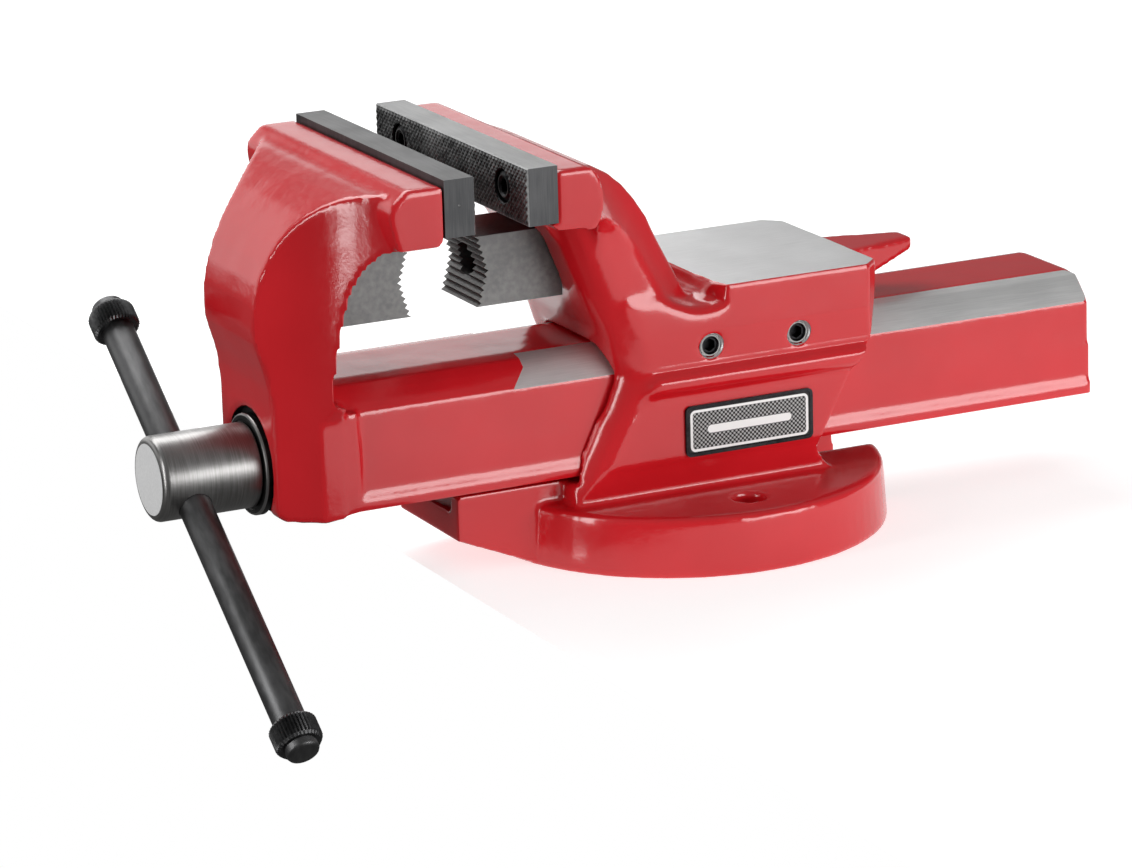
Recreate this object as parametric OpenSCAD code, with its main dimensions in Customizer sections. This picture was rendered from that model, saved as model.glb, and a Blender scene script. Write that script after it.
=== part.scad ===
// Bench vise, 150 mm jaws: fixed body with anvil and horn, hollow sliding beam,
// screw with a sliding tommy bar. Millimetres, +Z up, +X towards the rear of the
// vise, origin at the centre of the round base on the bench.
// The spindle side of the jaws is -X. The slide closes towards +X.

/* [Jaws] */
// Width of the flat jaw plates
jaw_w = 150; // [140:1:160]
// Gap between the flat jaw plates as modelled
jaw_gap = 22.5; // [15:0.5:30]
// Thickness of a flat jaw plate
plate_t = 14; // [12:0.5:15]
// Height of a flat jaw plate
plate_h = 24; // [22:1:26]
// Height of the jaw plates' top above the bench
plate_top = 182; // [181:0.5:184]
// Width of a pipe jaw
pipe_w = 36; // [34:1:40]
// Distance of a plate screw from the middle of the jaw
plate_screw_y = 51; // [45:1:58]

/* [Slide] */
// Width of the sliding beam
beam_w = 70.6; // [69:0.2:71]
// Height of the beam's top above the bench
beam_top = 90.4; // [89:0.2:91]
// Width of the beam's flat top between its chamfers
beam_top_w = 34.8; // [32:0.2:38]
// Height of the beam's chamfer edges above the bench
beam_shoulder = 79.3; // [78:0.1:81]
// Height of the beam's underside above the bench
beam_bottom = 37.8; // [37.6:0.1:38.4]
// Place of the beam's rear end
beam_rear = 185; // [175:1:195]
// Wall of the hollow beam
beam_wall = 12.5; // [11:0.5:13]

/* [Screw] */
// Height of the screw's axis above the bench
axis_z = 54.5; // [54:0.1:55]
// Crest diameter of the screw's trapezoidal thread
screw_d = 26; // [24:1:26]
// Diameter of the spindle head
head_d = 36; // [34:1:38]
// Length of the spindle head
head_len = 43.6; // [40:0.2:46]
// Diameter of the tommy bar
bar_d = 14; // [12:0.5:14.5]
// Length of the tommy bar
bar_len = 242; // [220:1:260]
// How far the tommy bar is slid down through the head
bar_shift = 26; // [0:1:60]
// Tilt of the tommy bar from level
bar_tilt = 35.6; // [0:0.1:90]

/* [Base] */
// Diameter of the round base at the bench
base_d = 179; // [174:1:182]
// Thickness of the round base
base_h = 26; // [24:0.5:27]
// Distance of each base bolt hole from the middle
bolt_y = 64.7; // [62:0.1:67]
// Diameter of a base bolt hole, for an M12 bolt
bolt_hole_d = 14; // [13:0.5:15]

/* [Hidden] */

$fn = 72;
e = 0.01;              // small overlap that joins or clears two faces
gap = 0.3;             // clearance between sliding castings
seat_gap = 0.25;       // clearance round a pipe jaw in its pocket
fit = 0.05;            // radial running clearance of a shaft

fixed_x = -104;                          // face of the fixed flat jaw plate
moving_x = fixed_x - jaw_gap;            // face of the moving flat jaw plate
fixed_seat = fixed_x + plate_t;          // seat behind each flat plate
moving_seat = moving_x - plate_t;
head_top = plate_top - 2.5;              // top of each cast jaw head
plate_low = plate_top - plate_h;
head_low = plate_low - 3.5;
plate_screw_z = plate_top - 11.5;

m_screw_r = 4;                           // M8 cap screws throughout
m_head_r = 6.5;
m_head_h = 8;
counterbore_r = 7.1;
hex_r = 3.46;                            // 6 mm socket, across corners

pipe_low = 112;
pipe_top = 142;
pipe_mid = 128.6;
tooth = 1.6;                             // depth of a pipe jaw's teeth
fixed_pipe_x = fixed_x + 2.4;            // tips of the pipe teeth, set back from the flat plates
moving_pipe_x = moving_x - 5;
fixed_pipe_seat = -62;
pipe_heel = 14;                          // metal left under a pipe jaw screw's head
moving_pipe_seat = -175.5;

column_front = -199.4;                   // face of the front casting that carries the screw
column_back = -176;
cavity_r = beam_w/2 - beam_wall;
cavity_top = beam_top - beam_wall;
cavity_c = 9;                            // chamfer inside the beam
recess_r = 24.2;
recess_depth = 3.6;
head_x = column_front - 1;               // rear end of the spindle head
bar_x = head_x - head_len + 14.3;        // tommy bar hole
screw_end = 150;
washer_t = 4.2;
collar_x = column_back + 2.2;
collar_len = 10;
spigot_r = 10;
spigot_len = 18;

cap_len = 11;
cap_r = 10.1;
button_len = 4;

channel_r = 22;                          // open channel under the beam, half width
channel_floor = 27;
notch_r = 18.7;
gib_len = 104;
gib_x = -42;
gib_screw_x = [-7.2, 34.3];
gib_screw_z = 88.6;
gib_face = -38;                          // outer face of the gib strip
anvil_top = 114.6;
anvil_x0 = -2.9;
anvil_x1 = 75;
anvil_r = 48.3;
nut_x0 = -30;
nut_x1 = 22;
nut_r = 19.5;
nut_screw_x = [-18, 10];
side_y = 46.5;                           // flat side panel of the body
badge_x0 = -20.3;
badge_w = 60.6;
badge_z0 = 41.7;
badge_h = 22;
neck_lean = 28.4;
lip = 1.9;                               // beam's lower edge stands proud by this

// ---- helpers ----
function arc(c, r, a0, a1, n) =
    [for (i = [0:n]) c + r*[cos(a0 + (a1 - a0)*i/n), sin(a0 + (a1 - a0)*i/n)]];
function curve(a, b, c, d, n) =
    [for (i = [0:n]) let (t = i/n, s = 1 - t) s*s*s*a + 3*s*s*t*b + 3*s*t*t*c + t*t*t*d];
function flip(points) = [for (p = points) [p[0], -p[1]]];
function reversed(points) = [for (i = [len(points) - 1:-1:0]) points[i]];
// Half an outline with its mirror image: a plan about the X axis, a section about the Z axis
function whole_plan(half) = concat(half, reversed(flip(half)));
function whole_section(half) = concat(half, [for (p = reversed(half)) [-p[0], p[1]]]);

// Outline in X and Z, extruded across the vise
module across(w, y = 0) {
    translate([0, y + w/2, 0]) rotate([90, 0, 0]) linear_extrude(w) children();
}
// Outline in Y and Z, extruded along the vise from x0 to x1
module along(x0, x1) {
    translate([x0, 0, 0]) rotate([90, 0, 90]) linear_extrude(x1 - x0) children();
}
module rod_x(r, x0, x1, y = 0, z = 0) {
    translate([x0, y, z]) rotate([0, 90, 0]) cylinder(r = r, h = x1 - x0);
}
module rod_y(r, y0, y1, x, z) {
    translate([x, y0, z]) rotate([-90, 0, 0]) cylinder(r = r, h = y1 - y0);
}
module box(x0, x1, y0, y1, z0, z1) {
    translate([x0, y0, z0]) cube([x1 - x0, y1 - y0, z1 - z0]);
}
module both_sides() {
    children();
    mirror([0, 1, 0]) children();
}

// Plan outline of a jaw: full width at the head, narrowing to the web behind it.
// Each point is [distance behind the head, half width].
flare = curve([0, 73], [19, 38], [33, 30], [49, 27], 12);

// Upright prism with the flare as its plan, tilted to lean towards -X.
// Its web starts at x0 on the bench plane and runs back for length.
module leaning_web(x0, lean, length) {
    plan = whole_plan(concat([[-40, 90], [0, 90]], flare, [[length, 27]]));
    translate([x0, 0, 0]) rotate([0, -lean, 0]) translate([0, 0, -80]) linear_extrude(360)
        polygon([for (p = plan) [p[0]*cos(lean), p[1]]]);
}

// Cap screw along X with its head at the -X end (dir = 1) or the +X end (dir = -1)
module cap_screw(length) {
    difference() {
        union() {
            rod_x(m_head_r, 0, m_head_h);
            rod_x(m_screw_r, m_head_h - e, m_head_h + length);
        }
        translate([-e, 0, 0]) rotate([0, 90, 0]) cylinder(r = hex_r, h = 4.5, $fn = 6);
    }
}

module plate_holes(x0, x1, r) {
    for (y = [-plate_screw_y, plate_screw_y])
        rod_x(r, x0, x1, y, plate_screw_z);
}

// Flat plate with its face at x = 0, body towards +X
module jaw_plate() {
    difference() {
        box(0, plate_t, -jaw_w/2, jaw_w/2, plate_low, plate_top);
        plate_holes(-1, plate_t + 1, m_screw_r);
        plate_holes(-1, m_head_h + 0.6, counterbore_r);
    }
}
module plate_screws(x, dir) {
    for (y = [-plate_screw_y, plate_screw_y])
        translate([x, y, plate_screw_z]) mirror([dir > 0 ? 0 : 1, 0, 0])
            translate([0.6, 0, 0]) cap_screw(plate_t + 12 - m_head_h);
}

// Pipe jaw with its teeth at x = 0 and its seat at x = depth
module pipe_jaw(depth) {
    teeth = 11;
    pitch = (pipe_top - pipe_low)/teeth;
    vee = 4.2;
    function back(z) = vee*(1 - abs(z - (pipe_low + pipe_top)/2)/((pipe_top - pipe_low)/2));
    front = [for (i = [0:teeth - 1], s = [0, 1])
        let (z = pipe_low + (i + s*0.5)*pitch) [back(z) + s*tooth, z]];
    difference() {
        across(pipe_w) polygon(concat(front, [[0, pipe_top], [depth, pipe_top], [depth, pipe_low]]));
        rod_x(m_screw_r, -1, depth + 1, 0, pipe_mid);
        rod_x(counterbore_r, -1, depth - pipe_heel, 0, pipe_mid);
    }
}

// ---- fixed body ----
module base_profile() {
    r0 = base_d/2;
    r1 = r0 - 1.5;
    round_r = 2.5;
    polygon(concat([[0, 0], [r0 - 1, 0], [r0, 1]],
                   arc([r1 - round_r, base_h - round_r], round_r, 0, 90, 6), [[0, base_h]]));
}
module front_lug() {
    across(60) polygon([[-119, 15.6], [-119, 34], [-118, 35], [-50, 35], [-50, 0], [-82, 0]]);
}
// Housing around the beam, seen from the side
module housing_side() {
    polygon([[-48, 78], [-59.5, 57], [-68.5, 38.2], [-70, 32], [-70, 20], [52, 20], [50, 27], [45.5, 33],
             [44.1, 37], [46.8, 43.4], [57.4, 62.8], [64.4, 75.3], [69.6, 81], [72, 89.3], [74.4, 98],
             [75.4, 107], [anvil_x1, anvil_top], [anvil_x0, anvil_top], [anvil_x0 - 1.5, 110],
             [-8, 107], [-14, 106], [-30, 112], [-60, 112], [-53.5, 99]]);
}
// Housing around the beam, seen from the front: two bands, a rounded rib and the name panel
module housing_front() {
    half = concat([[anvil_r - 0.3, 116], [anvil_r, 113], [49.2, 96], [46.7, 82.4], [47.4, 81.4], [46, 80.2]],
                  curve([46, 79.6], [52.8, 78.6], [52.4, 71.5], [45.2, 68.6], 6),
                  [[side_y, 67.4], [side_y, 41], [45.6, 40], [42.6, 28], [42.6, 18]]);
    polygon(whole_section(half));
}
// Plan of the housing: the anvil's rear corners are clipped, its front corners more sharply
module anvil_plan() {
    c = 7;
    polygon(whole_plan([[-80, 60], [anvil_x1 - c, 60], [anvil_x1 - c, anvil_r], [anvil_x1, anvil_r - c],
                        [anvil_x1 + 3, anvil_r - c]]));
}
module anvil_front_clip() {
    both_sides() translate([0, 0, 106]) linear_extrude(20)
        polygon([[-12, 40.5], [anvil_x0, 40.5], [anvil_x0 + 3.4, 49.6], [anvil_x0 + 3.4, 60], [-12, 60]]);
}
// Rounds the upright front corner of the body along a line that leans from (x0, z0)
module corner_cut(x0, z0, lean, z1, z2) {
    intersection() {
        both_sides() translate([x0, 0, z0]) rotate([0, lean, 0]) translate([0, 0, -80]) linear_extrude(160)
            polygon([[-25, 34.5], [0, 35], [2.6, 40], [6.4, 44], [11.6, 46.9], [11.6, 60], [-25, 60]]);
        box(-120, 0, -60, 60, z1, z2);
    }
}
module housing() {
    intersection() {
        across(110) housing_side();
        along(-75, 80) housing_front();
        linear_extrude(130) anvil_plan();
    }
}
// Fixed jaw: head above a neck that leans back into the housing
module fixed_jaw() {
    back = fixed_seat + 15;
    intersection() {
        across(jaw_w) polygon(concat(
            [[fixed_seat, head_top - 6], [fixed_seat, head_low + 6]],
            [[-84, 153], [-79.4, 150], [-71, 138], [-64.5, 122], [-59, 109], [-53.5, 99], [-20, 99],
             [-10, 108]],
            curve([-16, 120], [-28, 142], [-34, 166], [back + 4, head_top - 3.6], 8)));
        along(-100, 20) polygon(concat(
            [[-jaw_w/2 + 3, head_top], [-jaw_w/2 + 3, head_low + 2]],
            curve([-jaw_w/2 + 6, head_low], [-56, 153], [-49, 148], [-46.8, 136], 6), [[-46.5, 90]],
            [[46.5, 90]], curve([46.8, 136], [49, 148], [56, 153], [jaw_w/2 - 6, head_low], 6),
            [[jaw_w/2 - 3, head_low + 2], [jaw_w/2 - 3, head_top]]));
        leaning_web(back + 1 + 163*tan(neck_lean), neck_lean, 140);
    }
    across(jaw_w) polygon([[fixed_seat - 3.2, plate_low - 0.3], [fixed_seat, plate_low - 0.3],
        [fixed_seat, head_top], [back, head_top], [back + 2.8, 176.8], [back + 4.6, 173.4], [back + 5.5, 170],
        [back + 6, 165.5], [back + 5.8, 161.5], [back + 4.7, 157], [back + 2.4, 153.8], [back, 152.6],
        [back - 3.2, 153.9], [fixed_seat, head_low]]);
}
module horn() {
    hull() {
        box(anvil_x1 - 12, anvil_x1 - 1, -16, 16, 94, 112);
        box(112, 113, -6.5, 6.5, 106, 112);
    }
}
// Section of the beam, or of the body's bore round it when grown by the clearance
beam_r = beam_w/2;
beam_side = [[beam_top_w/2, beam_top], [24.3, 89.3], [28, 86.3], [31.2, 83], [33.9, beam_shoulder],
             [beam_r, 57], [beam_r + 0.4, 45.5], [beam_r + lip, 41.5]];
module beam_outline(grow) {
    polygon(whole_section(concat([for (p = beam_side) [p[0] + grow, p[1] + (p[1] > 50 ? grow : 0)]],
                                 [[beam_r + lip + grow, beam_bottom - grow]])));
}
module gib_outline() {
    // lower face follows the beam's near shoulder with the same clearance
    polygon([[-20, beam_top + 0.2], [-24.5, 89.72], [-28.2, 86.7], [-31.4, 83.42], [gib_face, 83.42],
             [gib_face, 95], [-20, 95]]);
}
module nut_screw_holes(r, z0, z1) {
    for (x = nut_screw_x)
        translate([x, 0, z0]) cylinder(r = r, h = z1 - z0);
}
module gib_pocket() {
    side = gib_face - gap;
    polygon([[-19.7, 86], [-31, 82], [side, 83.1], [side, 95 + gap], [-19.7, 95 + gap]]);
}
module body_casting() {
    color("crimson") difference() {
        union() {
            rotate_extrude() base_profile();
            front_lug();
            housing();
            fixed_jaw();
            horn();
        }
        anvil_front_clip();
        corner_cut(-59.5, 57, 27.6, 26.5, 79);
        corner_cut(-48, 79, -21, 79, 150);
        along(-130, 130) beam_outline(gap);
        box(-130, -60, -40, 40, 35 + e, 38);
        box(44, 130, -channel_r, channel_r, base_h, 38);
        box(-130, 60, -channel_r, channel_r, channel_floor, 40);
        box(40, 100, -notch_r, notch_r, -1, 40);
        along(gib_x - 0.5, gib_x + gib_len + 0.5) gib_pocket();
        for (x = gib_screw_x)
            rod_y(5, -60, -30, x, gib_screw_z);
        for (y = [-bolt_y, bolt_y])
            translate([0, y, -1]) cylinder(d = bolt_hole_d, h = base_h + 2);
        nut_screw_holes(m_screw_r + 0.4, -1, 40);
        nut_screw_holes(counterbore_r, -1, 14);
        plate_holes(fixed_seat - 5, fixed_seat + 13, m_screw_r);
        box(-110, fixed_pipe_seat, -pipe_w/2 - seat_gap, pipe_w/2 + seat_gap,
            pipe_low - seat_gap, pipe_top + seat_gap);
        rod_x(m_screw_r, fixed_pipe_seat - 1, fixed_pipe_seat + 16, 0, pipe_mid);
    }
}
module fixed_jaw_plate() {
    color("dimgray") translate([fixed_x, 0, 0]) jaw_plate();
}
module fixed_jaw_screws() {
    color("black") plate_screws(fixed_x, 1);
}
module fixed_pipe_jaw() {
    color("gray") translate([fixed_pipe_x, 0, 0]) pipe_jaw(fixed_pipe_seat - fixed_pipe_x);
}
module fixed_pipe_screw() {
    color("black") translate([fixed_pipe_seat - pipe_heel - m_head_h, 0, pipe_mid]) cap_screw(2*pipe_heel);
}
module spindle_nut() {
    color("goldenrod") difference() {
        union() {
            box(nut_x0, nut_x1, -nut_r, nut_r, channel_floor, axis_z);
            rod_x(17.5, nut_x0, nut_x1, 0, axis_z);
        }
        rod_x(screw_d/2 + fit, nut_x0 - 1, nut_x1 + 1, 0, axis_z);
        nut_screw_holes(m_screw_r, channel_floor - 1, channel_floor + 11);
    }
}
module nut_screws() {
    color("black") for (x = nut_screw_x)
        translate([x, 0, 14 - m_head_h]) rotate([0, -90, 0]) cap_screw(22);
}
module gib_strip() {
    color("goldenrod") along(gib_x, gib_x + gib_len) gib_outline();
}
module gib_set_screws() {
    color("black") for (x = gib_screw_x) difference() {
        rod_y(5, -46.6, gib_face, x, gib_screw_z);
        translate([x, -46.6 - e, gib_screw_z]) rotate([-90, 0, 0]) cylinder(r = 2.9, h = 5, $fn = 6);
    }
}
module name_plate() {
    r = 3;
    color("black") translate([badge_x0, -side_y, badge_z0]) rotate([90, 0, 0]) linear_extrude(1.2)
        polygon(concat(arc([badge_w - r, badge_h - r], r, 0, 90, 4), arc([r, badge_h - r], r, 90, 180, 4),
                       arc([r, r], r, 180, 270, 4), arc([badge_w - r, r], r, 270, 360, 4)));
}

// ---- sliding front jaw ----
module arch_side() {
    polygon(concat(
        [[moving_seat, head_top - 4], [-157, head_top - 4]],
        curve([-160.4, 176], [-178.4, 175.5], [-205.9, 152], [-205.9, 119], 10),
        curve([-205.9, 118], [-205.9, 108], [column_front, 100], [column_front, 84], 5),
        [[column_front, 41]],
        arc([column_front + 5, 41], 5, 195, 270, 4),
        [[-181, 35.2], [-172, 36.6], [-172, 84], [-178, 86], [-176.5, 103]],
        curve([-175.5, 110], [-173, 130], [-169, 151], [-157, head_low], 6),
        [[moving_seat, head_low + 4]]));
}
// Cheek where the upright column swells out to the beam
module cheek() {
    side = [[-190, 35], [-186, 35.1], [-181, 35.2], [-166, 37.8], [-163.6, 37.8], [-165.4, 80.6],
            [-180, 80.6], [-190, 70]];
    plan = [[-198, 27.5], [-188, 31], [-180, 35], [-175, 36.9], [-170, 37.5], [-166.4, 37.3], [-163.6, 36]];
    intersection() {
        across(80) polygon(side);
        linear_extrude(90) polygon(whole_plan(plan));
    }
}
// Below the throat the flare stops at the cheeks' width
module flare_trim() {
    both_sides() along(-220, -150) polygon([[38, 20], [38, 78], [50, 94], [90, 94], [90, 20]]);
}
module front_jaw_casting() {
    back = moving_seat - 16.3;
    color("crimson") difference() {
        union() {
            difference() {
                intersection() {
                    across(jaw_w) arch_side();
                    translate([back, 0, 0]) mirror([1, 0, 0]) leaning_web(0, 0, 80);
                }
                flare_trim();
            }
            across(jaw_w) polygon([[moving_seat, head_top], [moving_seat, plate_low - 0.3],
                [moving_seat - 2.4, head_low], [back - 3.4, head_low], [back - 4.4, 155.6],
                [back - 5.9, 160.5], [back - 7.2, 166.5], [back - 7.4, 170.2], [back - 6.4, 173.6],
                [back - 3.8, 176.2], [back, head_top]]);
            cheek();
            along(-182, beam_rear) beam_outline(0);
        }
        along(column_back, beam_rear + 1)
            polygon(whole_section([[cavity_r - cavity_c, cavity_top], [cavity_r, cavity_top - cavity_c],
                                   [cavity_r, 30]]));
        rod_x(screw_d/2 + fit, -230, -150, 0, axis_z);
        rod_x(recess_r, -230, column_front + recess_depth, 0, axis_z);
        plate_holes(moving_seat - 13, moving_seat + 5, m_screw_r);
        box(moving_pipe_seat, -120, -pipe_w/2 - seat_gap, pipe_w/2 + seat_gap,
            pipe_low - seat_gap, pipe_top + seat_gap);
        rod_x(m_screw_r, moving_pipe_seat - 16, moving_pipe_seat + 1, 0, pipe_mid);
    }
}
module moving_jaw_plate() {
    color("dimgray") translate([moving_x, 0, 0]) mirror([1, 0, 0]) jaw_plate();
}
module moving_jaw_screws() {
    color("black") plate_screws(moving_x, -1);
}
module moving_pipe_jaw() {
    color("gray") translate([moving_pipe_x, 0, 0]) mirror([1, 0, 0])
        pipe_jaw(moving_pipe_x - moving_pipe_seat);
}
module moving_pipe_screw() {
    color("black") translate([moving_pipe_seat + pipe_heel + m_head_h, 0, pipe_mid]) mirror([1, 0, 0])
        cap_screw(2*pipe_heel);
}

// ---- spindle ----
module spindle_screw() {
    color("silver") difference() {
        union() {
            rod_x(spigot_r, head_x - spigot_len, head_x + e, 0, axis_z);
            rod_x(screw_d/2, head_x, screw_end - 2, 0, axis_z);
            translate([screw_end - 2, 0, axis_z]) rotate([0, 90, 0])
                cylinder(r1 = screw_d/2, r2 = screw_d/2 - 2, h = 2);
        }
        rod_y(2.5, -20, 20, collar_x + collar_len/2, axis_z);
        rod_y(2.5, -spigot_r - 1, 20, head_x - 9, axis_z);
    }
}
module spindle_head() {
    r = head_d/2;
    nose_r = 3;
    x0 = head_x - head_len;
    color("silver") difference() {
        translate([x0, 0, axis_z]) rotate([0, 90, 0]) rotate_extrude()
            polygon(concat([[0, 0]], arc([r - nose_r, nose_r], nose_r, 270, 360, 8),
                           [[r, head_len - 0.6], [r - 0.6, head_len], [0, head_len]]));
        rod_x(spigot_r, head_x - spigot_len, head_x + 1, 0, axis_z);
        translate([bar_x, 0, axis_z]) rotate([bar_tilt, 0, 0])
            rod_y(bar_d/2 + 0.3, -r - 5, r + 5, 0, 0);
        rod_y(2.5, -spigot_r - 1, r + 1, head_x - 9, axis_z);
    }
}
module head_pin() {
    color("silver") rod_y(2.5, -spigot_r, head_d/2 - 1, head_x - 9, axis_z);
}
module thrust_washer() {
    color("black") difference() {
        rod_x(22.4, head_x, head_x + washer_t, 0, axis_z);
        rod_x(screw_d/2, head_x - 1, head_x + washer_t + 1, 0, axis_z);
    }
}
module retaining_collar() {
    color("dimgray") difference() {
        rod_x(17, collar_x, collar_x + collar_len, 0, axis_z);
        rod_x(screw_d/2, collar_x - 1, collar_x + collar_len + 1, 0, axis_z);
        rod_y(2.5, -20, 20, collar_x + collar_len/2, axis_z);
    }
}
module collar_pin() {
    color("silver") rod_y(2.5, -16, 16, collar_x + collar_len/2, axis_z);
}

// ---- tommy bar ----
// Local frame: bar along Z from its lower end to its upper end, middle at the screw's axis
module on_bar() {
    translate([bar_x, 0, axis_z]) rotate([bar_tilt - 90, 0, 0]) translate([0, 0, -bar_shift]) children();
}
module tommy_bar() {
    c = 1;
    color("dimgray") on_bar() rotate_extrude()
        polygon([[0, -bar_len/2], [bar_d/2 - c, -bar_len/2], [bar_d/2, -bar_len/2 + c],
                 [bar_d/2, bar_len/2 - c], [bar_d/2 - c, bar_len/2], [0, bar_len/2]]);
}
module bar_cap() {
    z0 = bar_len/2 - button_len - cap_len;
    c = 1;
    difference() {
        translate([0, 0, z0]) rotate_extrude()
            polygon([[0, 0], [cap_r - c, 0], [cap_r, c], [cap_r, cap_len - 1.5*c],
                     [cap_r - 1.5*c, cap_len], [0, cap_len]]);
        translate([0, 0, z0 - 1]) cylinder(r = bar_d/2, h = cap_len + 2);
    }
}
module upper_bar_cap() {
    color("black") on_bar() bar_cap();
}
module lower_bar_cap() {
    color("black") on_bar() mirror([0, 0, 1]) bar_cap();
}

body_casting();
fixed_jaw_plate();
fixed_jaw_screws();
fixed_pipe_jaw();
fixed_pipe_screw();
spindle_nut();
nut_screws();
gib_strip();
gib_set_screws();
name_plate();
front_jaw_casting();
moving_jaw_plate();
moving_jaw_screws();
moving_pipe_jaw();
moving_pipe_screw();
spindle_screw();
spindle_head();
head_pin();
thrust_washer();
retaining_collar();
collar_pin();
tommy_bar();
upper_bar_cap();
lower_bar_cap();
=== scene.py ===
# %% [markdown]
# # A bench vise, dressed over its CAD frame
# The CAD model gives every part its place and its size. This script gives those parts their
# looks: cast and painted skins, ground faces, knurls, a real screw thread and a badge.
# Lengths are written in millimetres and turned into metres by MM.

# %% Load the frame
import math

import bmesh
import bpy
from mathutils import Matrix, Vector


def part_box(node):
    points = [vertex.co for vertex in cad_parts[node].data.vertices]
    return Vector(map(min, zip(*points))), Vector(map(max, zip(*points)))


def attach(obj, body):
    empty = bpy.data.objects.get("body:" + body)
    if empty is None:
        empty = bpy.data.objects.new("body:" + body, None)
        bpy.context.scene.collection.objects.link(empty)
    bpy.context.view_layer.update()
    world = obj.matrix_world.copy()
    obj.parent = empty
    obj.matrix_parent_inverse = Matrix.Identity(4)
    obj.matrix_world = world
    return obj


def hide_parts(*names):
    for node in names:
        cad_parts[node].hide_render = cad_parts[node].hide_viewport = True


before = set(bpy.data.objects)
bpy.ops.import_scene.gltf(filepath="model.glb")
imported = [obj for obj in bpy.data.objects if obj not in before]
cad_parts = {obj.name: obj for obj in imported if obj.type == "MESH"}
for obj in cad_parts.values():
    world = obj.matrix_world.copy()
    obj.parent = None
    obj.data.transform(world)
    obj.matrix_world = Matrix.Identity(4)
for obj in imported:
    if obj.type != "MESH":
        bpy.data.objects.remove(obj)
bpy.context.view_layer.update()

MM = 0.001

# %% [markdown]
# ## Writing materials as sums
# A material is a net of nodes. Joining nodes by hand hides the idea, so Wire wraps one output
# socket and turns + - * into Math nodes. Recipe holds one material and adds every other kind
# of node through a single method: its type, its settings, then its values and links.

# %% Wire and Recipe
class Wire:
    """One output socket of a node; arithmetic on it adds Math nodes."""

    def __init__(self, recipe, socket):
        self.recipe, self.socket = recipe, socket

    def maths(self, operation, *values):
        return self.recipe.node("ShaderNodeMath", {"operation": operation}, dict(enumerate(values)))

    def __add__(self, other):
        return self.maths("ADD", self, other)

    def __sub__(self, other):
        return self.maths("SUBTRACT", self, other)

    def __mul__(self, other):
        return self.maths("MULTIPLY", self, other)

    __radd__, __rmul__ = __add__, __mul__

    def ramp(self, low, high):
        """0 below low and 1 above high, eased in between."""
        return self.recipe.node(
            "ShaderNodeMapRange", {"interpolation_type": "SMOOTHSTEP"},
            {"Value": self, "From Min": low, "From Max": high})


class Recipe:
    """One material. Words such as Roughness=0.4 set the shader's own sockets."""

    def __init__(self, name, colour, **fixed):
        self.material = bpy.data.materials.new(name)
        self.material.use_nodes = True
        self.tree = self.material.node_tree
        self.shader = self.tree.nodes["Principled BSDF"]
        self.shader.inputs["Base Color"].default_value = (*colour, 1)
        for name_of_socket, value in fixed.items():
            self.shader.inputs[name_of_socket.replace("_", " ")].default_value = value
        self.places = self.node("ShaderNodeTexCoord", output="Object")

    def node(self, kind, settings=None, sockets=None, output=0):
        made = self.tree.nodes.new(kind)
        for setting, value in (settings or {}).items():
            setattr(made, setting, value)
        for socket, value in (sockets or {}).items():
            self.plug(made.inputs[socket], value)
        return Wire(self, made.outputs[output])

    def plug(self, socket, value):
        if isinstance(value, Wire):
            self.tree.links.new(value.socket, socket)
        else:
            socket.default_value = value

    def stretched(self, x, y, z):
        """Object coordinates times a scale along each axis, in parts per metre."""
        return self.node("ShaderNodeMapping", {}, {"Vector": self.places, "Scale": (x, y, z)})

    def noise(self, x, y, z, detail=3.0):
        return self.node("ShaderNodeTexNoise", {},
                         {"Vector": self.stretched(x, y, z), "Scale": 1.0, "Detail": detail})

    def axis(self, letter):
        """One object coordinate in millimetres."""
        split = self.node("ShaderNodeSeparateXYZ", {}, {"Vector": self.places}, output=letter)
        return split * (1 / MM)

    def mix(self, factor, a, b):
        """A colour between a and b. The node's colour inputs are 6 and 7, and its colour output 2."""
        return self.node("ShaderNodeMix", {"data_type": "RGBA"},
                         {0: factor, 6: (*a, 1), 7: (*b, 1)}, output=2)

    def bumps(self, *layers):
        """Stacked bumps, each (height, depth in mm)."""
        normal = None
        for height, depth in layers:
            sockets = {"Height": height, "Distance": depth * MM, "Strength": 1.0}
            if normal:
                sockets["Normal"] = normal
            normal = self.node("ShaderNodeBump", {}, sockets)
        self.plug(self.shader.inputs["Normal"], normal)

    def shade(self, **sockets):
        for socket, value in sockets.items():
            self.plug(self.shader.inputs[socket.replace("_", " ")], value)
        return self.material


print("Material tools ready")

# %% [markdown]
# ## Red enamel on cast iron
# A sand casting keeps a faint grain and slow waves under its paint, and the paint pulls smooth
# over them with an orange-peel skin. So there are three bumps of falling size and a small
# colour drift. The enamel is one glossy layer, so its own roughness draws the highlights.

# %% Red enamel
def enamel():
    r = Recipe("red enamel", (0.58, 0.010, 0.016), Specular_IOR_Level=0.65)
    drift = r.noise(14, 14, 14)
    waves = r.noise(55, 55, 55, detail=1.0)
    grain = r.noise(420, 420, 420, detail=2.0)
    peel = r.noise(1500, 1500, 1500, detail=1.0)
    r.bumps((waves, 0.30), (grain, 0.05), (peel, 0.014))
    return r.shade(Base_Color=r.mix(drift.ramp(0.3, 0.7), (0.54, 0.008, 0.013), (0.62, 0.012, 0.019)),
                   Roughness=0.10 + grain * 0.12)


red_enamel = enamel()
print("Made", red_enamel.name)

# %% [markdown]
# ## Steels
# Ground steel shows long fine scratches along the stroke of the grinding wheel. Squeezing a
# noise far more across the stroke than along it draws them. One function makes every steel
# here: what changes is the colour, the direction of the strokes and how deep they are.

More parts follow.
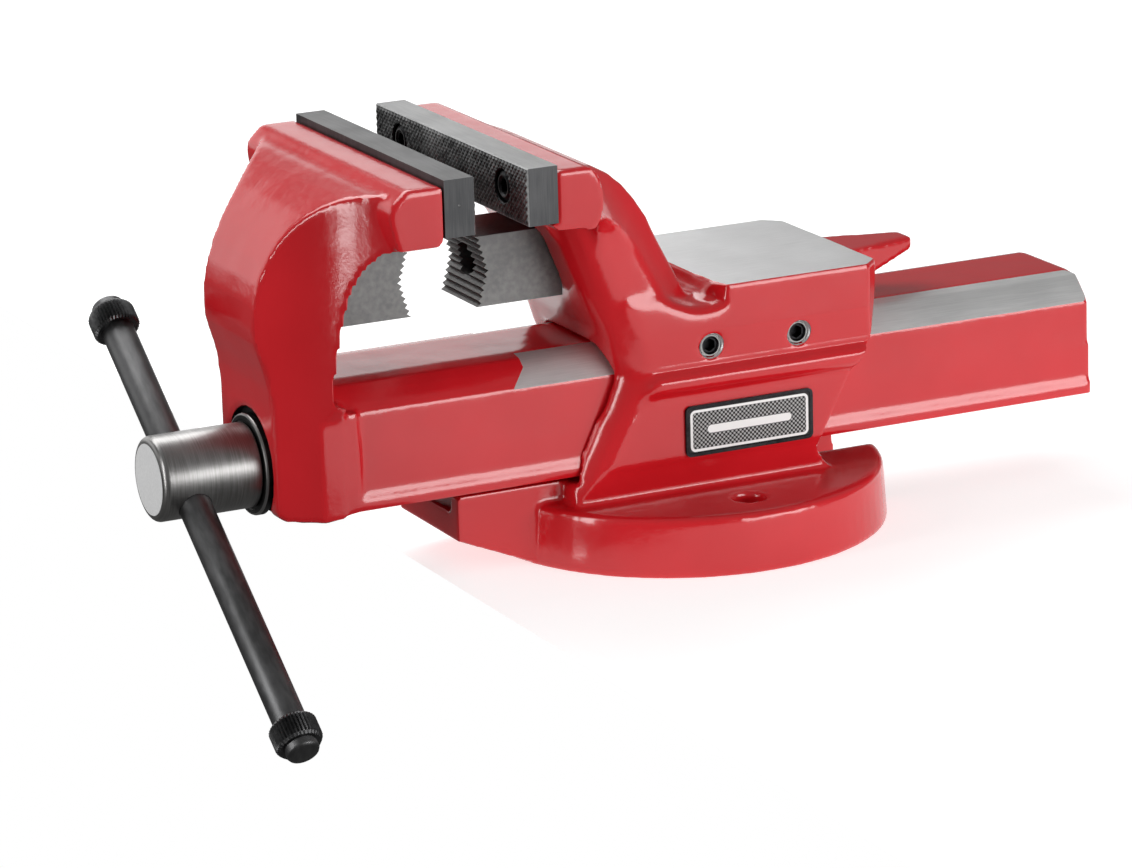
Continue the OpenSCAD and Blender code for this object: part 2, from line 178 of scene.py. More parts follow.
# %% Steel finishes
def steel(name, dark, light, strokes, depth=0.01, roughness=0.34, metal=1.0):
    """Strokes are the noise's parts per metre along X, Y and Z; depth is in mm."""
    scratch_spread, grain_depth = 0.16, 0.004
    r = Recipe(name, light, Metallic=metal)
    lines = r.noise(*strokes, detail=4.0)
    grain = r.noise(2600, 2600, 2600, detail=2.0)
    cloud = r.noise(38, 38, 38)
    r.bumps((lines, depth), (grain, grain_depth))
    tone = (lines * 0.55 + cloud * 0.45).ramp(0.3, 0.7)
    return r.shade(Base_Color=r.mix(tone, dark, light), Roughness=roughness + lines * scratch_spread)


def grey(value):
    return (value, value, value)


along_beam, along_jaw = (60, 2600, 1200), (900, 60, 900)
strip_steel = steel("beam strip steel", grey(0.55), (0.66, 0.66, 0.655), along_beam,
                    roughness=0.5, metal=0.75)
ground_steel = steel("ground steel", (0.64, 0.64, 0.642), (0.76, 0.76, 0.762), along_beam, roughness=0.40)
plate_top_steel = steel("plate top steel", grey(0.24), grey(0.33), along_jaw, roughness=0.42)
# The moving plate's top gets a darker copy of the plate top steel: painted shade, as both plates are alike.
shaded_top_steel = steel("plate top steel with painted shade", grey(0.10), grey(0.17), along_jaw, roughness=0.46)
plate_side_steel = steel("plate side steel", (0.055, 0.056, 0.058), (0.10, 0.10, 0.102),
                         (1600, 400, 60), 0.03, 0.46)
knurled_steel = steel("knurled steel", grey(0.015), grey(0.30), (700, 900, 500), 0.04, 0.30)
pipe_steel = steel("pipe jaw steel", grey(0.13), (0.22, 0.22, 0.215), (400, 400, 400), 0.02, 0.48)
turned_steel = steel("turned steel", (0.20, 0.195, 0.19), (0.34, 0.335, 0.33), (2400, 90, 90), 0.008, 0.27)
# The head's faced end is a bright turned face; its near-white, barely metallic colour also stands in for the
# light it would mirror: a painted reflection.
sheen_faced_steel = steel("faced steel with painted reflection", grey(0.80), grey(0.90), (200, 900, 900), 0.004, 0.40, metal=0.2)
bar_steel = steel("bar steel", (0.085, 0.085, 0.086), (0.14, 0.14, 0.142), (500, 120, 120), 0.008, 0.36)
black_steel = steel("black oxide steel", (0.012, 0.012, 0.013), (0.035, 0.035, 0.037),
                    (600, 600, 600), roughness=0.38)
washer_steel = steel("dark washer steel", grey(0.02), grey(0.06), (300, 300, 300), roughness=0.4)
screw_steel = steel("greased screw steel", (0.20, 0.19, 0.17), (0.36, 0.35, 0.33),
                    (2200, 150, 150), roughness=0.28)
bronze = steel("bronze", (0.42, 0.24, 0.08), (0.60, 0.38, 0.15), (300, 900, 900))
cap_black = steel("cap black", (0.045, 0.045, 0.046), (0.10, 0.10, 0.102), (500, 500, 500), roughness=0.30)
print("Made the steels")

# %% [markdown]
# ## Turning a bmesh into a piece
# Each new part is shaped in a bmesh, which is Blender's open workbench for meshes. The last
# step is always the same: shade it smooth but keep the real corners sharp, give it its
# finishes, and let it ride on the CAD body that carries it.

# %% Finishing a piece
def aim(bm):
    bmesh.ops.recalc_face_normals(bm, faces=bm.faces)
    return bm


def mark_corners(mesh, angle):
    bm = bmesh.new()
    bm.from_mesh(mesh)
    for face in bm.faces:
        face.smooth = True
    for edge in bm.edges:
        same = len({face.material_index for face in edge.link_faces}) == 1
        edge.smooth = same and edge.calc_face_angle(math.pi) < math.radians(angle)
    bm.to_mesh(mesh)
    bm.free()


def piece(name, bm, finishes, body, replaces, corner, cutters=()):
    """Corner is the angle in degrees between two faces from which their edge is drawn sharp."""
    mesh = bpy.data.meshes.new(name)
    bm.to_mesh(mesh)
    bm.free()
    for finish in finishes:
        mesh.materials.append(finish)
    obj = bpy.data.objects.new(name, mesh)
    bpy.context.scene.collection.objects.link(obj)
    for number, cutter in enumerate(cutters):
        cut(obj, cutter, finishes, f"{name}_cutter_{number}")
    mark_corners(obj.data, corner)
    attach(obj, body)
    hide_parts(*replaces)
    print(f"{name}: {len(obj.data.vertices)} vertices, {len(obj.data.polygons)} faces")
    return obj


def settle(obj):
    """Replace a mesh by what its modifiers make of it, and drop the modifiers."""
    view = bpy.context.evaluated_depsgraph_get()
    mesh = bpy.data.meshes.new_from_object(obj.evaluated_get(view))
    obj.modifiers.clear()
    obj.data = mesh


def cut(obj, cutter, finishes, name):
    tool_mesh = bpy.data.meshes.new(name)
    cutter.to_mesh(tool_mesh)
    cutter.free()
    for finish in finishes:
        tool_mesh.materials.append(finish)
    tool = bpy.data.objects.new(name, tool_mesh)
    bpy.context.scene.collection.objects.link(tool)
    boolean = obj.modifiers.new(name, "BOOLEAN")
    boolean.operation, boolean.solver, boolean.object = "DIFFERENCE", "EXACT", tool
    boolean.material_mode = "INDEX"
    settle(obj)
    bpy.data.objects.remove(tool)


def lathe(points, steps=72):
    """Spin an outline of (radius, height) points, in mm, round Z."""
    bm = bmesh.new()
    verts = [bm.verts.new((radius * MM, 0, height * MM)) for radius, height in points]
    edges = [bm.edges.new(pair) for pair in zip(verts, verts[1:])]
    bmesh.ops.spin(bm, geom=verts + edges, cent=(0, 0, 0), axis=(0, 0, 1), dvec=(0, 0, 0),
                   angle=math.tau, steps=steps, use_merge=True, use_duplicate=False)
    bmesh.ops.remove_doubles(bm, verts=bm.verts, dist=1e-7)
    return aim(bm)


def prism(sides, radius, length):
    bm = bmesh.new()
    bmesh.ops.create_cone(bm, cap_ends=True, segments=sides, radius1=radius * MM,
                          radius2=radius * MM, depth=length * MM)
    return bm


def block(x0, x1, y0, y1, z0, z1):
    bm = bmesh.new()
    bmesh.ops.create_cube(bm, size=1)
    size = Vector((x1 - x0, y1 - y0, z1 - z0)) * MM
    middle = Vector((x1 + x0, y1 + y0, z1 + z0)) * MM / 2
    bmesh.ops.transform(bm, matrix=Matrix.Translation(middle) @ Matrix.Diagonal((*size, 1)), verts=bm.verts)
    return bm


def moved(bm, matrix):
    bmesh.ops.transform(bm, matrix=matrix, verts=bm.verts)
    return bm


def joined(parts):
    """Pour several bmeshes into one."""
    whole = bmesh.new()
    for part in parts:
        mesh = bpy.data.meshes.new("poured")
        part.to_mesh(mesh)
        part.free()
        whole.from_mesh(mesh)
        bpy.data.meshes.remove(mesh)
    return whole


def painted(bm, number):
    for face in bm.faces:
        face.material_index = number
    return bm


def place(x, y, z, turn=0, axis="X"):
    return Matrix.Translation(Vector((x, y, z)) * MM) @ Matrix.Rotation(math.radians(turn), 4, axis)


print("Workbench ready")

# %% [markdown]
# ## The camera and the light
# The camera looks a little down from the near side, left of the jaws, through a long lens, so
# the vise is drawn with little perspective. The light is a white tent: a dim sky and four
# large soft panels, which the enamel mirrors as broad pale areas.

# %% Camera
azimuth, elevation, roll = (math.radians(v) for v in (-25.584, 15.688, -1.651))
back = Vector((math.sin(azimuth) * math.cos(elevation), -math.cos(azimuth) * math.cos(elevation),
               math.sin(elevation)))
level = Vector((0, 0, 1)).cross(back).normalized()
rise = back.cross(level)
camera_right = level * math.cos(roll) + rise * math.sin(roll)
camera_up = rise * math.cos(roll) - level * math.sin(roll)
camera = bpy.data.objects.new("camera", bpy.data.cameras.new("camera"))
camera.matrix_world = Matrix.Translation((-0.9676, -1.9103, 0.6444)) @ Matrix(
    (camera_right, camera_up, back)).transposed().to_4x4()
camera.data.lens = 164.19
camera.data.shift_x, camera.data.shift_y = -0.001, -0.0079
camera.data.clip_start = 0.1
camera.data.dof.use_dof = False
bpy.context.scene.collection.objects.link(camera)
bpy.context.scene.camera = camera
bpy.context.scene.view_settings.view_transform = "Standard"
print("Camera at", [round(v, 3) for v in camera.location])


# %% Floor and lights
def soft_panel(name, where, at, size, power):
    light = bpy.data.lights.new(name, "AREA")
    light.shape, light.size, light.size_y = "RECTANGLE", *size
    light.energy = power
    obj = bpy.data.objects.new(name, light)
    obj.location = where
    obj.rotation_mode = "QUATERNION"
    obj.rotation_quaternion = (Vector(at) - Vector(where)).to_track_quat("-Z", "Y")
    bpy.context.scene.collection.objects.link(obj)


# The bench ends under the front lug, because the bar swings below the bench's top
bench_edge, bench_near, bench_far, bench_depth = -125, -1500, 3000, 0.05
floor_bm = block(bench_edge, bench_far, bench_near, bench_far, -bench_depth, 0)
floor_mesh = bpy.data.meshes.new("bench_top")
floor_bm.to_mesh(floor_mesh)
floor_bm.free()
floor_finish = Recipe("pale bench", (0.60, 0.60, 0.60), Roughness=0.9, Specular_IOR_Level=0.1,
                      Emission_Color=(1, 1, 1, 1), Emission_Strength=0.68)
floor_mesh.materials.append(floor_finish.material)
floor = bpy.data.objects.new("bench_top", floor_mesh)
bpy.context.scene.collection.objects.link(floor)


def tent(below, level, above, seen):
    """A sky that is dark below, grey at eye level and bright above; the camera sees plain white."""
    world = bpy.data.worlds.new("white tent")
    world.use_nodes = True
    tree = world.node_tree
    background = tree.nodes["Background"]
    where = tree.nodes.new("ShaderNodeTexCoord")
    split = tree.nodes.new("ShaderNodeSeparateXYZ")
    shades = tree.nodes.new("ShaderNodeValToRGB")
    eye = tree.nodes.new("ShaderNodeLightPath")
    choice = tree.nodes.new("ShaderNodeMix")
    half = tree.nodes.new("ShaderNodeMapRange")
    tree.links.new(where.outputs["Generated"], split.inputs[0])
    tree.links.new(split.outputs["Z"], half.inputs["Value"])
    half.inputs["From Min"].default_value = -1
    tree.links.new(half.outputs[0], shades.inputs["Fac"])
    ramp, ends = shades.color_ramp, {0.0: 0, 1.0: -1}
    for stop, shade in ((0.0, below), (0.47, below), (0.52, level), (1.0, above)):
        element = ramp.elements[ends[stop]] if stop in ends else ramp.elements.new(stop)
        element.color = (*grey(shade), 1)
    choice.data_type = "FLOAT"
    tree.links.new(eye.outputs["Is Camera Ray"], choice.inputs[0])
    tree.links.new(shades.outputs["Color"], choice.inputs[2])
    choice.inputs[3].default_value = seen
    tree.links.new(choice.outputs[0], background.inputs["Strength"])
    background.inputs["Color"].default_value = (1, 1, 1, 1)
    bpy.context.scene.world = world


tent(below=0.14, level=0.20, above=0.30, seen=1.0)
vise_middle, vise_front = (0, 0, 0.1), (-0.1, 0, 0.1)
soft_panel("top panel", (-0.2, 0.75, 1.0), vise_middle, (1.2, 0.6), 10)
soft_panel("back panel", (-0.5, 1.7, 0.48), vise_middle, (3.2, 0.85), 8.5)
soft_panel("left panel", (-1.6, -0.3, 0.35), vise_front, (0.30, 1.2), 10)
soft_panel("right panel", (1.0, -1.8, 0.40), vise_middle, (1.6, 0.7), 24)
print("Bench, world and panels are up")

# %% [markdown]
# ## Casting skins
# The CAD castings have knife-sharp corners, and real ones leave the sand with soft ones. The
# CAD mesh is copied and merged, then remeshed into even small squares, then smoothed: every
# corner rounds by itself, inside and out. Faces that the shop machines afterwards are cut back
# with crisp tools, so their borders stay sharp, as on the real thing.

# %% Casting skin
casting_finishes = (red_enamel, ground_steel, strip_steel, washer_steel)
GROUND, STRIP, RECESS_SHADE = 1, 2, 3  # places in casting_finishes that the tools leave behind


def cast_skin(name, node, body, voxel, rounds, share, cutters, fillet=None):
    """voxel in mm, rounds of smoothing, share of the faces kept; fillet gives 0 to 1 at a point in mm."""
    bm = bmesh.new()
    bm.from_mesh(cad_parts[node].data)
    bmesh.ops.remove_doubles(bm, verts=bm.verts, dist=1e-6)
    mesh = bpy.data.meshes.new(name)
    bm.to_mesh(mesh)
    bm.free()
    obj = bpy.data.objects.new(name, mesh)
    bpy.context.scene.collection.objects.link(obj)
    remesh = obj.modifiers.new("even skin", "REMESH")
    remesh.mode, remesh.voxel_size, remesh.adaptivity = "VOXEL", voxel * MM, 0
    smooth = obj.modifiers.new("cast corners", "SMOOTH")
    smooth.factor, smooth.iterations = 0.5, rounds
    if fillet:
        fillet_rounds = 60
        settle(obj)
        blend = obj.vertex_groups.new(name="fillets")
        for v in obj.data.vertices:
            blend.add([v.index], fillet(v.co / MM), "REPLACE")
        wide = obj.modifiers.new("wide fillets", "SMOOTH")
        wide.factor, wide.iterations, wide.vertex_group = 0.5, fillet_rounds, "fillets"
    spare = obj.modifiers.new("fewer faces where it is flat", "DECIMATE")
    spare.ratio = share
    settle(obj)
    skin = bmesh.new()
    skin.from_mesh(obj.data)
    bpy.data.objects.remove(obj)
    return piece(name, skin, casting_finishes, body, (node,), corner=32, cutters=cutters)


# %% [markdown]
# The body's anvil is ground flat after painting, and each gib screw sits in a small turned
# countersink, so both tools leave bare steel.

# %% Fixed body
anvil_z, gib_z, gib_x = 114.2, 88.6, (-7.2, 34.3)
anvil_tool = painted(block(-7, 90, -70, 70, anvil_z, anvil_z + 20), GROUND)
near_side = -46.9
sink_outline = [(0, -1.5), (5.0, -1.5), (5.7, -0.5), (5.7, 9), (0, 9)]
countersinks = [painted(moved(lathe(sink_outline, 48), place(x, near_side, gib_z, 90)), GROUND)
                for x in gib_x]


def neck_fillet(at):
    """1 where the neck runs into the housing and where the rib fades out, falling to 0 around.
    The horn gets a little, so that its long edges run straight."""
    on_horn = at.x > 92 and at.z > 92
    reach = 0.2 if on_horn else 0
    inner_side = 30
    neck_foot, rib_end = (-56, -8, 93, 134, 9), (-54, -38, 66, 86, 6)
    for x0, x1, z0, z1, fade in (neck_foot, rib_end):
        away = Vector((max(x0 - at.x, at.x - x1, 0), max(inner_side - abs(at.y), 0),
                       max(z0 - at.z, at.z - z1, 0)))
        reach = max(reach, 1 - away.length / fade)
    return reach


cast_skin("painted_body", "body_casting", "body", 1.2, 6, 0.55, [joined([anvil_tool, *countersinks])],
          neck_fillet)


# %% [markdown]
# The beam slides on its two sloping shoulders. They are milled bare from the jaw's throat to
# the rear end, and the cutter leaves a slanting start. The washer's round recess is turned, and its
# faces get the dark washer steel: painted shade in the gap round the washer.

# %% Sliding jaw
def shoulder_tool(side):
    """Everything outside the beam's shoulder on one side, sunk by depth into the casting."""
    depth, start_x, length, slant_foot, slant_run = 0.4, -86, 290, 85, 7
    bm = bmesh.new()
    outline = [(17.2, 100), (17.2, 90.6), (24.3 - depth, 89.3 - depth), (28 - depth, 86.3 - depth),
               (31.2 - depth, 83 - depth), (33.9 - depth, 79.3), (34.4 - depth, 78.6), (45, 78.6), (45, 100)]
    start = bm.faces.new([bm.verts.new((start_x * MM, y * MM, z * MM)) for y, z in outline])
    out = bmesh.ops.extrude_face_region(bm, geom=[start])["geom"]
    far_end = [v for v in out if isinstance(v, bmesh.types.BMVert)]
    bmesh.ops.translate(bm, verts=far_end, vec=(length * MM, 0, 0))
    slant = [v for v in bm.verts if v.co.x < 0 and v.co.z < slant_foot * MM]
    bmesh.ops.translate(bm, verts=slant, vec=(-slant_run * MM, 0, 0))
    if side < 0:
        bm = moved(bm, Matrix.Diagonal((1, -1, 1, 1)))
    return painted(aim(bm), STRIP)


axis_z, recess_x, recess_r, recess_depth = 54.5, -199.4, 24.4, 3.8
recess_outline = [(0, -recess_depth), (recess_r, -recess_depth), (recess_r, 3), (0, 3)]
# The recess faces take the dark washer steel as painted shade.
shaded_recess_tool = painted(moved(lathe(recess_outline, 64), place(recess_x, 0, axis_z, -90, "Y")), RECESS_SHADE)
cast_skin("painted_sliding_jaw", "front_jaw_casting", "front_jaw", 1.35, 3, 0.6,
          [joined([shoulder_tool(-1), shoulder_tool(1), shaded_recess_tool])])


# %% [markdown]
# ## Jaw plates
# The gripping face is a file-like field of small pyramids, cut by two crossing sets of
# grooves. A turned grid whose squares are poked up to points makes that field. It is trimmed
# to the plate, and its border is pulled back to make the plate's body.

# %% Knurled jaw plate
plate_screw_y = (-51, 51)
EDGE, SIDE, TOP, BORE = 1, 2, 3, 4  # places in the plate's finishes, after the knurled face at 0


def jaw_plate(name, node, body, direction, top_finish):
    """Direction is the way from the gripping face into the plate, along X."""
    low, high = (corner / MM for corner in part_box(node))
    face = low.x if direction > 0 else high.x
    pitch, depth, edge, thick = 2.1, 0.55, 0.45, high.x - low.x
    width, height = high.y - low.y, high.z - low.z
    middle = (high.z + low.z) / 2
    count = int((width + height) / pitch / 1.4) + 2
    bm = bmesh.new()
    bmesh.ops.create_grid(bm, x_segments=count, y_segments=count, size=count * pitch * MM / 2)
    bmesh.ops.rotate(bm, verts=bm.verts, cent=(0, 0, 0), matrix=Matrix.Rotation(math.radians(45), 3, "Z"))
    half_x, half_y = width / 2 - edge, height / 2 - edge
    for normal, reach in (((1, 0, 0), half_x), ((-1, 0, 0), half_x),
                          ((0, 1, 0), half_y), ((0, -1, 0), half_y)):
        bmesh.ops.bisect_plane(bm, geom=[*bm.verts, *bm.edges, *bm.faces], plane_no=normal,
                               plane_co=Vector(normal) * reach * MM, clear_outer=True)
    bmesh.ops.poke(bm, faces=[f for f in bm.faces if f.calc_area() > 0.4 * (pitch * MM) ** 2],
                   offset=depth * MM)
    rim = [e for e in bm.edges if e.is_boundary]
    for grow, drop, finish in ((edge, -edge, EDGE), (0, -(thick - depth - edge), SIDE)):
        out = bmesh.ops.extrude_edge_only(bm, edges=rim)
        verts = [v for v in out["geom"] if isinstance(v, bmesh.types.BMVert)]
        rim = [e for e in out["geom"] if isinstance(e, bmesh.types.BMEdge) and e.is_boundary]
        for f in (f for f in out["geom"] if isinstance(f, bmesh.types.BMFace)):
            f.material_index = finish
        bmesh.ops.scale(bm, verts=verts, vec=((half_x + grow) / half_x, (half_y + grow) / half_y, 1))
        bmesh.ops.translate(bm, verts=verts, vec=(0, 0, drop * MM))
    bmesh.ops.holes_fill(bm, edges=rim)
    for f in bm.faces:
        if f.normal.z < -0.5:
            f.material_index = SIDE
    turn = Matrix.Rotation(math.radians(-90 * direction), 4, "Y") @ Matrix.Rotation(math.radians(90), 4, "Z")
    x = face + direction * depth
    bm = aim(moved(bm, Matrix.Translation(Vector((x, 0, middle)) * MM) @ turn))
    for f in bm.faces:
        if f.normal.z > 0.9 and f.material_index == SIDE:
            f.material_index = TOP
    bores = []
    bore_outline = [(0, -20), (4, -20), (4, -8.6), (7.1, -8.6), (7.1, -0.5), (7.5, -0.1), (7.5, 3), (0, 3)]
    for y in plate_screw_y:
        bore = painted(lathe(bore_outline, 48), BORE)
        bores.append(moved(bore, place(face + direction * 0.4, y, middle + 0.5, -90 * direction, "Y")))
    if direction < 0:
        punch_mark = lathe([(0, -0.6), (0.9, 0.5), (0, 0.5)], 16)
        bores.append(painted(moved(punch_mark, place(face - 7.4, -width / 2, middle + 1, 90)), EDGE))
    return piece(name, bm, (knurled_steel, plate_top_steel, plate_side_steel, top_finish, black_steel),
                 body, (node,), corner=20, cutters=[joined(bores)])


jaw_plate("fixed_knurled_plate", "fixed_jaw_plate", "body", 1, plate_top_steel)
# The moving plate's top takes the darker copy: painted shade.
jaw_plate("moving_knurled_plate", "moving_jaw_plate", "front_jaw", -1, shaded_top_steel)


# %% [markdown]
# ## Cap screws and set screws
# A socket screw is a turned head with a hexagon driven into it. The head is spun from an
# outline and the socket is cut by a six-sided prism. Its top rim is given bright turned steel.

# %% Socket screws
def socket_screws(name, node, body, spots, turn, axis):
    head, tall, long, key = 6.4, 7.9, 25, 3.3
    outline = [(0, -long), (3.9, -long), (3.9, -tall), (head, -tall), (head, -1.2), (head - 1.2, -0.3),
               (key + 1.45, 0), (key + 1.0, 0), (key + 0.3, -0.7), (0, -0.7)]
    screws, sockets = [], []
    for spot in spots:
        screw = lathe(outline, 40)
        for f in screw.faces:
            centre = f.calc_center_median()
            radius = math.hypot(centre.x, centre.y) / MM
            f.material_index = 1 if centre.z > -0.12 * MM and radius > key + 0.9 else 0
        screws.append(moved(screw, place(*spot, turn, axis)))
        sockets.append(moved(painted(prism(6, key, 8), 0), place(*spot, turn, axis)))
    return piece(name, joined(screws), (black_steel, turned_steel), body, (node,),
                 corner=28, cutters=[joined(sockets)])


plate_z = 170.5
socket_screws("fixed_plate_screws", "fixed_jaw_screws", "body",
              [(-103.3, y, plate_z) for y in plate_screw_y], -90, "Y")
socket_screws("moving_plate_screws", "moving_jaw_screws", "front_jaw",
              [(-127.2, y, plate_z) for y in plate_screw_y], 90, "Y")

# %% [markdown]
# The gib's set screws have no head: the whole rod is the socket's wall, seen as a thin ring.

# %% Set screws
def set_screws(name, node, body, spots):
    outline = [(0, -8.2), (4.85, -8.2), (4.85, -0.9), (4.5, -0.45), (4.0, -0.45), (3.3, -1.6), (0, -1.6)]
    parts, sockets = [], []
    for spot in spots:
        screw = lathe(outline, 40)
        for f in screw.faces:
            f.material_index = 1 if f.calc_center_median().z > -0.95 * MM else 0
        parts.append(moved(screw, place(*spot, 90)))
        sockets.append(moved(painted(prism(6, 2.9, 11), 0), place(*spot, 90)))
    return piece(name, joined(parts), (black_steel, turned_steel), body, (node,),
                 corner=28, cutters=[joined(sockets)])


set_screws("gib_sockets", "gib_set_screws", "body", [(x, -46.5, gib_z) for x in gib_x])

# %% [markdown]
# ## The turned parts
# The spindle head and its washer come off a lathe, so each is an outline spun round the
# screw's axis. The head's cross hole for the bar is cut afterwards, at the bar's tilt.

# %% Spindle head and washer
bar_x, bar_tilt = -229.7, 35.6
head_low, head_high = (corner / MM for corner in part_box("spindle_head"))
long = head_high.x - head_low.x
head_r, nose_r, head_chamfer = 18, 3, 0.7
nose = [(head_r - nose_r + nose_r * math.sin(angle), long - nose_r + nose_r * math.cos(angle))
        for angle in (math.radians(degrees) for degrees in range(0, 91, 15))]
head_bm = lathe([(0, 0), (head_r - head_chamfer, 0), (head_r, head_chamfer), *reversed(nose), (0, long)], 96)
# The faced end takes the near-white finish, part turned face and part painted reflection.
for f in head_bm.faces:
    if f.calc_center_median().z > (long - 0.01) * MM:
        f.material_index = 1
head_bm = moved(head_bm, place(head_high.x, 0, axis_z, -90, "Y"))
bar_bore = moved(prism(64, 7.2, 60), place(bar_x, 0, axis_z, bar_tilt - 90))
piece("turned_spindle_head", head_bm, (turned_steel, sheen_faced_steel), "spindle", ("spindle_head",),
      corner=30, cutters=[bar_bore])
washer_low, washer_high = (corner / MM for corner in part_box("thrust_washer"))
washer_gap, washer_bore = 0.9, 13.1
wide, thick = washer_high.z - axis_z - washer_gap, washer_high.x - washer_low.x
washer_bm = lathe([(washer_bore, 0), (wide - 0.8, 0), (wide, 0.8), (wide, thick - 0.9),
                   (wide - 0.25, thick - 0.3), (wide - 0.9, thick), (19.2, thick), (18.8, thick - 0.4),
                   (washer_bore, thick - 0.4), (washer_bore, 0)], 96)
for f in washer_bm.faces:
    centre = f.calc_center_median()
    on_chamfer = (thick - 0.88) * MM < centre.z < (thick - 0.1) * MM
    if on_chamfer and math.hypot(centre.x, centre.y) > (wide - 0.8) * MM:
        f.material_index = 1
piece("spindle_washer", moved(washer_bm, place(washer_high.x, 0, axis_z, -90, "Y")),
      (washer_steel, turned_steel), "spindle", ("thrust_washer",), corner=25)


# %% [markdown]
# ## The screw
# A vise screw has a flat-topped trapezoidal thread. One closed section of the thread is spun
# round the axis and carried along by the pitch at the same time, and it is sunk a little into
# a plain core.

# %% Trapezoidal screw
def thread(length, crest, root, pitch, steps=20):
    """Half widths of the section are shares of the pitch; it is sunk 0.6 mm into the core."""
    sunk, root_half, crest_half = root - 0.6, 0.36, 0.19
    bm = bmesh.new()
    outline = [(sunk, -root_half), (crest, -crest_half), (crest, crest_half), (sunk, root_half)]
    verts = [bm.verts.new((0.0, radius * MM, along * pitch * MM)) for radius, along in outline]
    face = bm.faces.new(verts)
    turns = (length - pitch) / pitch
    total = round(turns * steps)
    bmesh.ops.spin(bm, geom=[face], cent=(0, 0, 0), axis=(0, 0, 1), dvec=(0, 0, pitch / steps * MM),
                   angle=math.tau * total / steps, steps=total, use_merge=False, use_duplicate=False)
    bmesh.ops.translate(bm, verts=bm.verts, vec=(0, 0, pitch / 2 * MM))
    return aim(bm)


screw_start, screw_end = -163.7, 148.0
screw_length = screw_end - screw_start
crest_r, root_r, spigot_r, screw_pitch = 12.95, 10.6, 9.9, 5.0
core = lathe([(0, -54.6), (spigot_r, -54.6), (spigot_r, -36.7), (crest_r, -36.7), (crest_r, 0.0),
              (root_r, 2.0), (root_r, screw_length - 1.0), (spigot_r, screw_length + 2),
              (0, screw_length + 2)], 40)
screw_bm = joined([core, thread(screw_length, crest_r, root_r, screw_pitch)])
piece("threaded_screw", moved(screw_bm, place(screw_start, 0, axis_z, 90, "Y")), (screw_steel,), "spindle",
      ("spindle_screw",), corner=40)

# %% [markdown]
# ## The tommy bar
# The bar slides through the head and is kept in by a knurled cap at each end. The knurl is
# straight: every second point of a ring is pulled in, and the ring is drawn along the cap. At
# both ends the points come back together, where the lathe has chamfered them.

# %% Tommy bar
bar_slip, half, radius = 26, 121, 7
on_bar = place(bar_x, 0, axis_z, bar_tilt - 90) @ Matrix.Translation((0, 0, -bar_slip * MM))
bar_bm = lathe([(0, -half), (radius - 1.6, -half), (radius - 0.5, -half + 0.6), (radius, -half + 1.5),
                (radius, half - 1.5), (radius - 0.5, half - 0.6), (radius - 1.6, half), (0, half)], 64)
piece("round_bar", moved(bar_bm, on_bar), (bar_steel,), "handle", ("tommy_bar",),
      corner=40)


# %% Knurled caps
def knurled_cap(name, node, side):
    teeth, crest, valley, length = 40, 10.1, 9.1, 11
    bore, base, nose = 7.05, 8.9, 8.6
    start = half - 4 - length
    bm = bmesh.new()
    ring = bmesh.ops.create_circle(bm, segments=teeth * 2, radius=1, cap_ends=False)["verts"]
    bmesh.ops.scale(bm, verts=ring, vec=(bore * MM, bore * MM, 1))
    edges = list(bm.edges)
    now = [bore, bore]
    for high, low, rise in ((base, base, 0), (crest, valley, 1.1), (crest, valley, length - 3.2),
                            (crest - 0.5, valley, 0.9), (nose, nose, 1.2), (bore, bore, 0.0)):
        out = bmesh.ops.extrude_edge_only(bm, edges=edges)["geom"]
        verts = [v for v in out if isinstance(v, bmesh.types.BMVert)]
        edges = [e for e in out if isinstance(e, bmesh.types.BMEdge) and e.is_boundary]
        step = math.tau / teeth / 2
        for number, want in enumerate((high, low)):
            some = [v for v in verts if round(math.atan2(v.co.y, v.co.x) / step) % 2 == number]
            bmesh.ops.scale(bm, verts=some, vec=(want / now[number], want / now[number], 1))
        now = [high, low]
        bmesh.ops.translate(bm, verts=verts, vec=(0, 0, rise * MM))
    bmesh.ops.bridge_loops(bm, edges=[e for e in bm.edges if e.is_boundary])
    bm = moved(aim(bm), Matrix.Translation((0, 0, start * MM)))
    if side < 0:
        bm = aim(moved(bm, Matrix.Diagonal((1, 1, -1, 1))))
    return piece(name, moved(bm, on_bar), (cap_black,), "handle", (node,), corner=30)


knurled_cap("upper_knurled_cap", "upper_bar_cap", 1)
knurled_cap("lower_knurled_cap", "lower_bar_cap", -1)

# %% [markdown]
# ## The badge
# A small plate with a raised rim sits on the body's near side. Its field is a fine printed check
# inside a white line, with a plain bar across the middle and no lettering. All of it is drawn
# from the plate's own coordinates, so no picture is needed.

# %% Badge plate
badge_low, badge_high = (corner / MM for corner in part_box("name_plate"))
badge_mid = (badge_low + badge_high) / 2


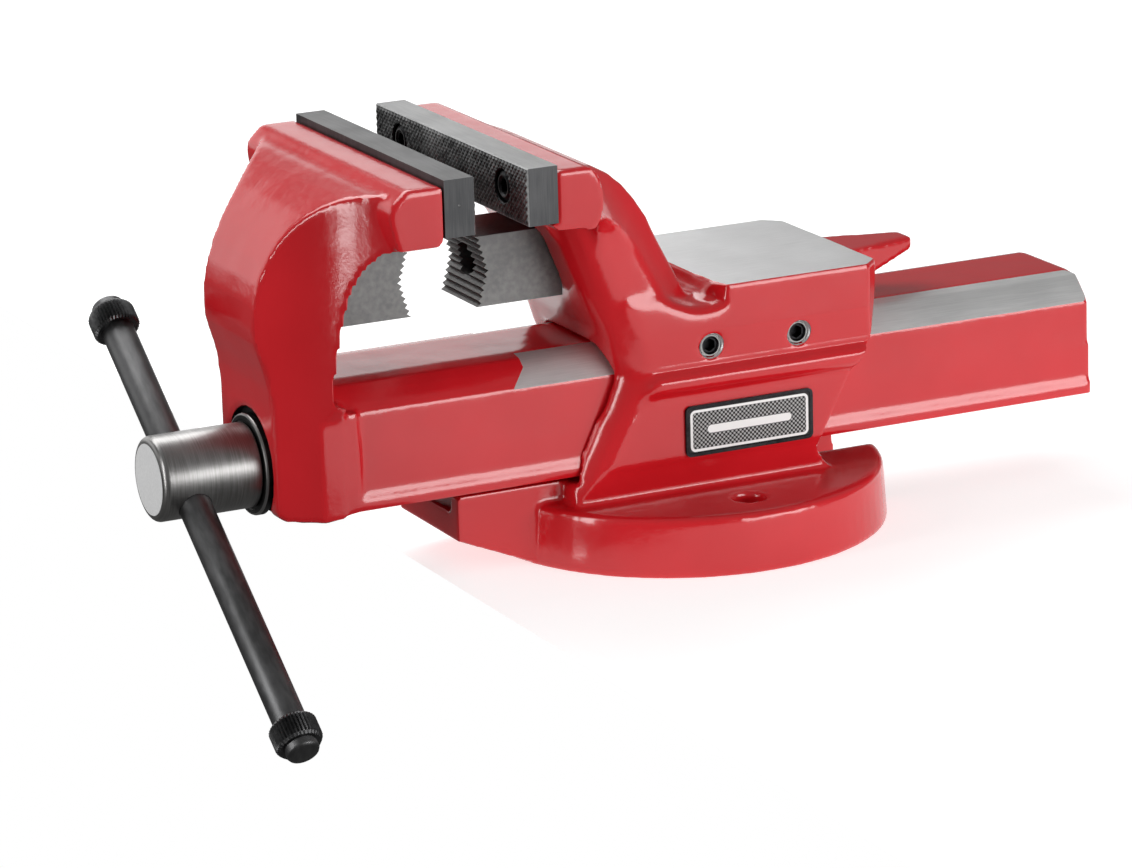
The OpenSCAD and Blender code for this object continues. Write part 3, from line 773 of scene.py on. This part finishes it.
def badge_print():
    ink, paper = (0.008, 0.008, 0.008), (0.86, 0.86, 0.85)
    r = Recipe("badge print", ink, Specular_IOR_Level=0.3, Coat_Weight=0.1, Coat_Roughness=0.12)
    x, z = r.axis("X") - badge_mid.x, r.axis("Z") - badge_mid.z

    def rounded(half_x, half_z, corner):
        """Distance outside a rectangle with round corners, in mm."""
        dx = x.maths("MAXIMUM", x.maths("ABSOLUTE", x) - (half_x - corner), 0.0)
        dz = z.maths("MAXIMUM", z.maths("ABSOLUTE", z) - (half_z - corner), 0.0)
        return x.maths("SQRT", dx * dx + dz * dz) - corner

    border = rounded(27.6, 8.5, 1.8)
    line = border.maths("ABSOLUTE", border).ramp(0.62, 0.52)
    inside = border.ramp(0.0, -0.1)
    across, up = x * 3.2, z * 3.2
    check = (across.maths("SINE", across) * up.maths("SINE", up)).ramp(0.02, 0.12) * 0.45
    bar = rounded(20.0, 1.7, 1.7).ramp(0.05, -0.05)
    white = line.maths("MAXIMUM", line, inside * check.maths("MAXIMUM", check, bar))
    wear = r.noise(900, 900, 900)
    return r.shade(Base_Color=r.mix(white, ink, paper), Roughness=0.28 + wear * 0.12)


badge_finish = badge_print()
bm = bmesh.new()
bmesh.ops.create_grid(bm, x_segments=1, y_segments=1, size=0.5)
badge_size = (badge_high - badge_low) * MM
bmesh.ops.scale(bm, verts=bm.verts, vec=(badge_size.x, badge_size.z, 1))
corner_r, plate_thick, outer_ring, rim_width, field_depth = 2.4, 1.2, 0.35, 1.0, 0.35
bmesh.ops.bevel(bm, geom=bm.verts[:], affect="VERTICES", offset=corner_r * MM, segments=5, profile=0.5,
                material=-1)
out = bmesh.ops.extrude_face_region(bm, geom=bm.faces[:])["geom"]
lifted = [f for f in out if isinstance(f, bmesh.types.BMFace)]
bmesh.ops.translate(bm, verts=[v for f in lifted for v in f.verts], vec=(0, 0, plate_thick * MM))
bmesh.ops.inset_region(bm, faces=lifted, thickness=outer_ring * MM, depth=0)
bmesh.ops.inset_region(bm, faces=lifted, thickness=rim_width * MM, depth=0)
bmesh.ops.inset_region(bm, faces=lifted, thickness=0.3 * MM, depth=-field_depth * MM)
for f in bm.faces:
    f.material_index = 0 if f in lifted else 1
bm = aim(moved(bm, place(badge_mid.x, badge_high.y, badge_mid.z, 90)))
piece("badge_plate", bm, (badge_finish, black_steel), "body", ("name_plate",), corner=30)

# %% [markdown]
# ## Parts that keep their CAD shape
# The rest are small or hidden parts whose CAD meshes are already right. They only need a finish.

# %% Finishes for the remaining CAD parts
for finish, nodes in ((pipe_steel, ("fixed_pipe_jaw", "moving_pipe_jaw")),
                      (black_steel, ("fixed_pipe_screw", "moving_pipe_screw", "nut_screws")),
                      (bronze, ("spindle_nut", "gib_strip")),
                      (turned_steel, ("head_pin", "collar_pin")),
                      (washer_steel, ("retaining_collar",))):
    for node in nodes:
        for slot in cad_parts[node].material_slots:
            slot.material = finish
        print("Finished", node, "with", finish.name)
